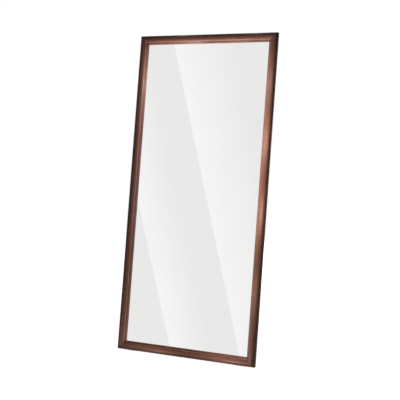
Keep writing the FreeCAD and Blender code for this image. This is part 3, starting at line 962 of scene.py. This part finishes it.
put_copies = copies_tree()
for seed, (node, places) in enumerate(screws.items()):
    group = copies(node + "_cross_head", screw, places, steel, spread=math.tau, seed=seed)
    stand_for(tidy(group), "frame", "zinc_steel", node)
bpy.data.objects.remove(screw)

# %% [markdown]
# ## V-nails
# A mitre is pulled together by V-nails: short strips of hard steel, folded to a right angle and
# pressed in flush from the back, where they show as two thin V lines across every mitre. The
# strip is a folded sheet with a sharpened lower edge, and the same tree copies it.

# %% V-nails
def v_nail_template():
    leg, sheet, depth, sharp = 6.0, 0.6, 9.0, 1.5
    outline = [(0, 0), (leg, 0), (leg, sheet), (sheet, sheet), (sheet, leg), (0, leg)]
    thin = [(0.2, 0.2), (leg, 0.2), (leg, 0.4), (0.4, 0.4), (0.4, leg), (0.2, leg)]
    points = []
    for y, corners in ((0, outline), (-depth + sharp, outline), (-depth, thin)):
        points += [(a * MM, y * MM, b * MM) for a, b in corners]
    return drawn("v_nail", points, tube_faces(3, 6))


NAIL_TURNS = {(False, False): 0, (False, True): 90, (True, True): 180, (True, False): 270}


def v_nail_places():
    """The fold of each nail, and the turn that points its legs away from the corner."""
    places, turns = [], []
    for low, high in solids_in("corner_v_nails"):
        middle = (low + high) / 2
        right, top = middle.x > 0, middle.z > FRAME_HEIGHT / 2
        places.append((high.x if right else low.x, 0.02 * MM, high.z if top else low.z))
        turns.append(math.radians(NAIL_TURNS[right, top]))
    return places, turns


v_nail = v_nail_template()
nail_places, nail_turns = v_nail_places()
nails = copies("corner_v_nails_folded", v_nail, nail_places, steel, nail_turns)
stand_for(tidy(nails), "frame", "zinc_steel", "corner_v_nails")
bpy.data.objects.remove(v_nail)

# %% [markdown]
# ## Rubber buffers and feet
# Four rubber buffers keep the back off the wall, and two wedges under the bottom rail stop it
# from sliding. A buffer is a profile turned round its axis, with a soft shoulder and a shallow
# dish in its end, as such pads are moulded. The wedges are the CAD solids with rounded edges.

# %% Buffers
AXIS, END_SHARE, BUFFER_ROUND = 0.1 * MM, 0.61, 1.1 * MM


def buffer_template():
    low, high = turned_box("wall_bumper_top_left", UPRIGHT)
    base, height = (high.x - low.x) / 2, high.y - low.y
    end = base * END_SHARE
    stations = [(AXIS, 0.0), (base - 0.5 * MM, 0.0), (base, 0.4 * MM), (base, 0.9 * MM)]
    for i in range(7):
        angle = math.radians(15 * i)
        stations.append((end + 0.9 * MM * math.cos(angle) - 0.4 * MM,
                         height - BUFFER_ROUND + BUFFER_ROUND * math.sin(angle)))
    stations += [(end * 0.72, height), (end * 0.55, height - 0.4 * MM),
                 (AXIS, height - 0.5 * MM)]
    return drawn("buffer", *lathe(stations, 40))


BUFFERS = ["wall_bumper_%s_%s" % (level, side) for level in ("top", "bottom")
           for side in ("left", "right")]
boxes = [turned_box(node, UPRIGHT) for node in BUFFERS]
buffer = buffer_template()
buffers = copies("wall_buffers", buffer, [((low.x + high.x) / 2, low.y, (low.z + high.z) / 2)
                                          for low, high in boxes], rubber)
stand_for(tidy(buffers, sharp=50), "frame", "black_rubber", *BUFFERS)
bpy.data.objects.remove(buffer)


# %% Softened copies of CAD solids
def softened_copy(node, name, edge, material, segments=2):
    """A CAD solid, welded from its loose triangles, with its sharp edges rounded."""
    work = welded(nodes[node].data)
    bmesh.ops.dissolve_limit(work, angle_limit=math.radians(0.5), verts=work.verts,
                             edges=work.edges)
    mesh = bpy.data.meshes.new(name)
    work.to_mesh(mesh)
    work.free()
    mesh.materials.append(material)
    piece = new_object(name, mesh)
    rounding = piece.modifiers.new("soft_edges", "BEVEL")
    rounding.width, rounding.segments = edge, segments
    rounding.limit_method, rounding.angle_limit = "ANGLE", math.radians(40)
    return tidy(keep_result(piece), Matrix.Identity(4), 40)


for side in ("left", "right"):
    foot = softened_copy("foot_pad_" + side, "foot_wedge_" + side, 0.5 * MM, rubber, 3)
    stand_for(foot, "frame", "black_rubber", "foot_pad_" + side)
    strap = softened_copy("hanger_strap_" + side, "rolled_strap_" + side, 0.12 * MM, steel)
    stand_for(strap, "frame", "zinc_steel", "hanger_strap_" + side)

# %% [markdown]
# ## D-rings
# Each hanging ring is 3 mm round wire, bent to a D and threaded through the rolled eye of its
# strap. It swings on its straight bar and hangs plumb, whatever the lean, so it is drawn about
# the joint. The wire follows a path, so Geometry Nodes sweep a circle along it.

# %% Bend the rings
def wire_tree():
    """Inputs: the wire's Radius, the Sides of its section, and the Material."""
    tree, inputs = geometry_tree("bent_wire", ["Radius", "Sides", "Material"])
    path = field(tree, "GeometryNodeMeshToCurve", {"Mesh": inputs["Geometry"]})
    ring = field(tree, "GeometryNodeCurvePrimitiveCircle",
                 {"Radius": inputs["Radius"], "Resolution": inputs["Sides"]})
    wire = field(tree, "GeometryNodeCurveToMesh", {"Curve": path, "Profile Curve": ring})
    finish_tree(tree, wire, inputs["Material"])
    return tree


def ring_path(pivot):
    """The D's centre line below its straight bar, in the row's frame."""
    half, corner, leg, shoulder = 12.5, 3.0, 8.0, (4.5, 6.2)
    points = [(x, 0) for x in (-6, -3, 0, 3, 6)]
    points += arc((half - corner, -corner), corner, 90, 0, 8)
    points += [(half, -down) for down in shoulder]
    points += arc((0, -leg), half, 0, -180, 40)
    points += [(-half, -down) for down in reversed(shoulder)]
    points += arc((-half + corner, -corner), corner, 180, 90, 8)
    return [pivot + Vector((x * MM, 0, z * MM)) for x, z in points]


WIRE_RADIUS = 1.5 * MM
sweep_wire = wire_tree()
pivots = {joint["child"]: Vector(joint["pos_m"]) for joint in frame["joints"]}
for side in ("left", "right"):
    body = "hanger_ring_" + side
    line = ring_path(pivots[body])
    closed = [(i, (i + 1) % len(line)) for i in range(len(line))]
    ring = new_object(body + "_wire", mesh_of(body, line, closed))
    grow(ring, sweep_wire, Radius=WIRE_RADIUS, Sides=20, Material=steel)
    stand_for(tidy(ring, Matrix.Identity(4)), body, "zinc_steel", body)

# %% [markdown]
# ## Camera
# The photograph was taken from the right of the mirror, at eye height, looking slightly down.
# Its place was found by fitting the eight corners of the frame and of the glass.

# %% Camera
EYE_PLACE, EYE_DOWN, EYE_TURN = (1.6825, -3.7636, 1.3352), 7.559, 23.808
eye = bpy.data.cameras.new("camera")
eye.sensor_width, eye.lens = 36.0, 73.41
camera = bpy.data.objects.new("camera", eye)
bpy.context.scene.collection.objects.link(camera)
camera.location = EYE_PLACE
camera.rotation_euler = (math.radians(90 - EYE_DOWN), 0, math.radians(EYE_TURN))
bpy.context.scene.camera = camera
bpy.context.scene.view_settings.view_transform = "Standard"

# %% [markdown]
# ## The studio
# The mirror stands on a plain white floor in a white room. To the camera, and in reflections,
# both are white by their own colour, so no lamp has to burn them out. In reflections the room
# is bright ahead of the mirror and dim above and behind it. Two pale screens to the right of
# the camera have one straight edge each, which give the slanting steps of tone that the
# photograph shows across the glass. Each is given by where its line crosses the foot and the
# top of the frame: the mirrored camera and that line span a plane, and every mirrored sight
# line along the step lies in it.

# %% Floor
def ray_kinds(tree):
    """1 for a ray from the camera, and 1 for a ray that a mirror or a lacquer sends on."""
    path = add(tree, "ShaderNodeLightPath").outputs
    return path["Is Camera Ray"], maths(tree, "MAXIMUM", path["Is Glossy Ray"],
                                        path["Is Transmission Ray"])


def white_floor():
    material, tree, shader = new_material("studio_floor")
    tree.nodes.remove(shader)
    straight, mirrored = ray_kinds(tree)
    seen = plus(tree, times(tree, straight, FLOOR_GLOW), times(tree, mirrored, FLOOR_MIRRORED))
    speckle = noise(tree, object_coordinates(tree), (60.0, 60.0, 60.0), 2.0)
    tone = ramp(tree, speckle, (0.3, (0.80, 0.80, 0.80)), (0.7, (0.82, 0.82, 0.82)))
    matt = field(tree, "ShaderNodeBsdfDiffuse", {"Color": tone})
    glow = field(tree, "ShaderNodeEmission", {"Color": (1, 1, 1, 1), "Strength": seen})
    tree.links.new(field(tree, "ShaderNodeAddShader", {0: matt, 1: glow}),
                   tree.nodes["Material Output"].inputs[0])
    return material


FLOOR_GLOW, FLOOR_MIRRORED, FLOOR_REACH = 0.975, 0.72, 30.0
corners = [(a * FLOOR_REACH, b * FLOOR_REACH, 0) for a, b in ((-1, -1), (1, -1), (1, 1), (-1, 1))]
floor = drawn("studio_floor", corners, [(0, 1, 2, 3)])
floor.data.materials.append(white_floor())
floor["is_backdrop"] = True


# %% Room
ROOM_DIM, ROOM_BRIGHT, SCREEN_GAIN, ROOM_FILL = 0.10, 0.885, 0.11, 0.03
# where the bright part starts and is full: along y, ahead of the mirror, and downwards along z
AHEAD, BELOW = (0.15, -0.15), (0.62, 0.42)
EDGE_BLUR = 0.0015
# each step of tone, as (across at the foot, across at the top, how far it fades)
STEPS = ((0.306, -0.206, 0.075), (-0.075, -0.627, 0.050))


def square_to_step(foot_across, top_across):
    """The normal of the plane through the mirrored camera and a line across the glass."""
    front = turned_box("mirror_glass", UPRIGHT)[0].y
    behind = UPRIGHT @ camera.location
    behind.y = 2 * front - behind.y
    to_top = Vector((top_across, front, FRAME_HEIGHT)) - behind
    to_foot = Vector((foot_across, front, 0)) - behind
    return (LEANING.to_3x3() @ to_top.cross(to_foot)).normalized()


def screen_edge(tree, direction, square_to, reach):
    """A pale screen in the room: bright from one straight edge on, and fading beyond it."""
    dot = add(tree, "ShaderNodeVectorMath", {0: direction, 1: square_to}, operation="DOT_PRODUCT")
    past = dot.outputs["Value"]
    return times(tree, remap(tree, past, 0.0, EDGE_BLUR),
                 remap(tree, past, 0.0, reach, 1.0, 0.0))


def studio_room():
    """White to the camera; in reflections bright ahead of the mirror, dim above and behind."""
    world = bpy.data.worlds.new("studio_room")
    world.use_nodes = True
    bpy.context.scene.world = world
    tree = world.node_tree
    background = tree.nodes["Background"]
    straight, mirrored = ray_kinds(tree)
    direction = add(tree, "ShaderNodeTexCoord").outputs["Generated"]
    way = add(tree, "ShaderNodeSeparateXYZ", {0: direction}).outputs
    room = times(tree, remap(tree, way[1], *AHEAD), remap(tree, way[2], *BELOW))
    screens = maths(tree, "MAXIMUM", *[
        screen_edge(tree, direction, square_to_step(foot, top), reach)
        for foot, top, reach in STEPS])
    shown = plus(tree, remap(tree, room, 0.0, 1.0, ROOM_DIM, ROOM_BRIGHT),
                  times(tree, screens, SCREEN_GAIN))
    strength = field(tree, "ShaderNodeMix", {0: mirrored, 2: ROOM_FILL, 3: shown})
    strength = field(tree, "ShaderNodeMix", {0: straight, 2: strength, 3: 1.0})
    tree.links.new(strength, background.inputs["Strength"])
    background.inputs["Color"].default_value = (1, 1, 1, 1)


studio_room()
print("steps of tone square to", [square_to_step(*step[:2])[:] for step in STEPS])


# %% [markdown]
# ## Lamps
# In the photograph the right stile and the inner slopes are lit while the outer sides, the top
# and the left crown stay dark. Only light from close before the glass does that. So a string of
# frosted bulbs runs up beside the right stile, with a few below the top rail, two weak ones
# above it and two on the floor. Light linking keeps every lamp off the pane, where they would
# burn spots. A broad soft lamp lights the back.

# %% Lamps
unlit = bpy.data.collections.new("kept_off_the_pane")
unlit.objects.link(mirror_pane)
unlit.collection_objects[0].light_linking.link_state = "EXCLUDE"


def hang(name, lamp, place):
    """Put a lamp in its place, turned to the middle of the mirror."""
    holder = bpy.data.objects.new(name, lamp)
    bpy.context.scene.collection.objects.link(holder)
    holder.location = place
    way = Vector((0, 0, FRAME_HEIGHT / 2)) - Vector(place)
    holder.rotation_euler = way.to_track_quat("-Z", "Y").to_euler()
    holder.visible_camera = False
    holder.light_linking.receiver_collection = unlit


def bulb(name, place, level, radius):
    """A frosted bulb; level is what it gives on a white card one metre away."""
    lamp = bpy.data.lights.new(name, "POINT")
    lamp.energy, lamp.shadow_soft_size = level * 4 * math.pi ** 2, radius
    hang(name, lamp, place)


def softbox(name, place, size, level):
    """A square soft lamp, its level given as for a bulb."""
    lamp = bpy.data.lights.new(name, "AREA")
    lamp.shape, lamp.size, lamp.energy = "SQUARE", size, level * math.pi ** 2
    hang(name, lamp, place)


# a string of bulbs, as (across, before the frame's back, up the frame, level); a bulb's radius
# is a share of its distance from the back
BULB_SHARE = 0.55
STRING = ((0.33, 0.18, 0.35, 0.024), (0.33, 0.18, 0.75, 0.066), (0.33, 0.18, 1.10, 0.064),
          (0.33, 0.18, 1.40, 0.034), (0.05, 0.15, 1.30, 0.022),
          (-0.14, 0.07, 1.43, 0.035), (0.12, 0.07, 1.43, 0.012),
          (-0.22, 0.05, 1.88, 0.026), (0.18, 0.05, 1.88, 0.026))
for number, (across, before, up, level) in enumerate(STRING):
    bulb("string_bulb_%d" % number, LEANING @ Vector((across, -before, up)), level,
         BULB_SHARE * before)
# two small bulbs on the floor, as (across, level)
LOW_BEFORE, LOW_RADIUS = 0.32, 0.015
for number, (across, level) in enumerate(((-0.20, 0.012), (0.22, 0.017))):
    bulb("low_bulb_%d" % number, (across, -LOW_BEFORE, 0.02), level, LOW_RADIUS)
softbox("rear_softbox", place=(0.0, 3.0, 1.3), size=1.8, level=5.0)
print("lamps:", [light.name for light in bpy.data.lights])

# %% Sizes and the end
visual_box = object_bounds()
for label, box in (("CAD box", cad_box), ("visual box", visual_box)):
    print(label, [[round(v, 4) for v in corner] for corner in box])
